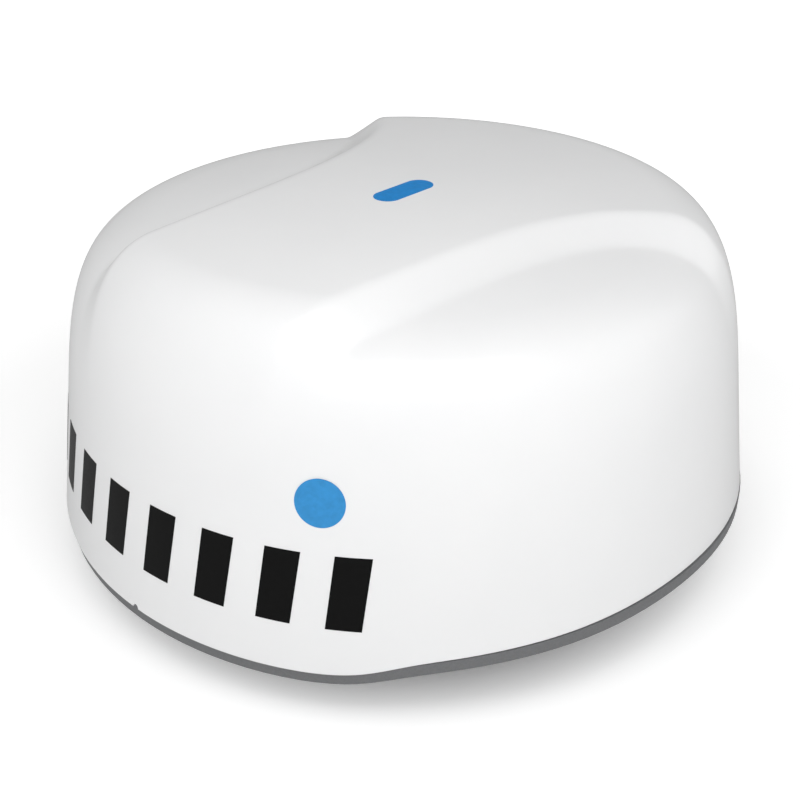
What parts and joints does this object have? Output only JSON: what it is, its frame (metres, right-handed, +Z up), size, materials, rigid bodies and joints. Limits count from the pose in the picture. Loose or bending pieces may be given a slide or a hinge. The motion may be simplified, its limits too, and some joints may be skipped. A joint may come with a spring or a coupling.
{
  "type": "radar dome antenna",
  "caption": "Closed marine radar dome: white radome with a raised fore-and-aft band over a grey base pan that holds a belt-driven turning antenna.",
  "frame": {"origin": "centre of the mounting face under the base pan", "axes": "+Z up out of the crown of the radome, bow towards -Y, port side +X"},
  "size_m": [0.5048, 0.5087, 0.2487],
  "materials": {
    "radome_white": "gloss gelcoat white",
    "housing_grey": "satin powder coat",
    "seal_rubber": "matt",
    "stainless": "plain",
    "socket_black": "moulded",
    "contact_gold": "plated",
    "vent_grey": "moulded",
    "cast_aluminium": "as cast",
    "sheet_aluminium": "rolled sheet",
    "board_green": "solder mask",
    "chip_black": "moulded",
    "bearing_steel": "ground",
    "joint_brass": "turned",
    "motor_black": "satin",
    "belt_rubber": "matt",
    "lead_black": "satin sheath",
    "lead_red": "satin sheath",
    "mark_blue": "printed film",
    "mark_light_blue": "printed film",
    "mark_black": "printed film",
    "turned_steel": "turned",
    "pulley_plastic": "natural acetal",
    "array_laminate": "bare laminate",
    "patch_copper": "copper",
    "weight_iron": "blackened",
    "drive_pulley_metal": "turned"
  },
  "bodies": {
    "base": {"lower_housing": "housing_grey", "cover_gasket": "seal_rubber", "cover_bolts": "stainless", "bolt_seals": "seal_rubber", "mount_inserts": "stainless", "power_socket": "socket_black", "power_pins": "contact_gold", "network_socket": "socket_black", "network_pins": "contact_gold", "vent_plug": "vent_grey", "transceiver_case": "cast_aluminium", "transceiver_lid": "sheet_aluminium", "case_screws": "stainless", "transceiver_board": "board_green", "magnetron": "cast_aluminium", "drive_chassis": "cast_aluminium", "chassis_screws": "stainless", "lower_bearing_outer": "bearing_steel", "upper_bearing_outer": "bearing_steel", "rotary_joint_stator": "joint_brass", "bow_sensor": "board_green", "drive_motor": "motor_black", "motor_screws": "stainless", "drive_belt": "belt_rubber", "main_board": "board_green", "main_board_parts": "chip_black", "power_board": "board_green", "power_board_parts": "chip_black", "board_screws": "stainless", "power_lead": "lead_black", "network_lead": "lead_black", "motor_lead": "lead_black", "transceiver_lead": "lead_red", "signal_lead": "lead_black"},
    "radome": {"radome_shell": "radome_white", "cover_inserts": "joint_brass", "heading_mark": "mark_blue", "front_graphic": "mark_black", "side_mark": "mark_light_blue"},
    "antenna": {"antenna_shaft": "turned_steel", "shaft_clip": "turned_steel", "lower_bearing_inner": "bearing_steel", "upper_bearing_inner": "bearing_steel", "driven_pulley": "pulley_plastic", "hub_screws": "stainless", "bow_magnet": "turned_steel", "rotary_joint_rotor": "joint_brass", "antenna_bracket": "sheet_aluminium", "array_channel": "sheet_aluminium", "array_board": "array_laminate", "array_spacers": "pulley_plastic", "array_patches": "patch_copper", "array_screws": "stainless", "feed_line": "patch_copper", "feed_probe": "joint_brass", "counterweight": "weight_iron"},
    "motor_rotor": {"motor_shaft": "turned_steel", "drive_pulley": "drive_pulley_metal"}
  },
  "joints": [
    {"name": "cover_lift", "type": "slide", "parent": "base", "child": "radome", "axis": [0, 0, 1], "range_m": [0, 0.25]},
    {"name": "antenna_spin", "type": "hinge", "parent": "base", "child": "antenna", "pos_m": [0, 0, 0.08], "axis": [0, 0, 1], "continuous": true, "deforming": ["drive_belt"]},
    {"name": "motor_spin", "type": "hinge", "parent": "base", "child": "motor_rotor", "pos_m": [0, -0.097, 0.08], "axis": [0, 0, 1], "continuous": true}
  ],
  "couplings": [
    {"joint": "motor_spin", "follows": "antenna_spin", "ratio": 6}
  ]
}
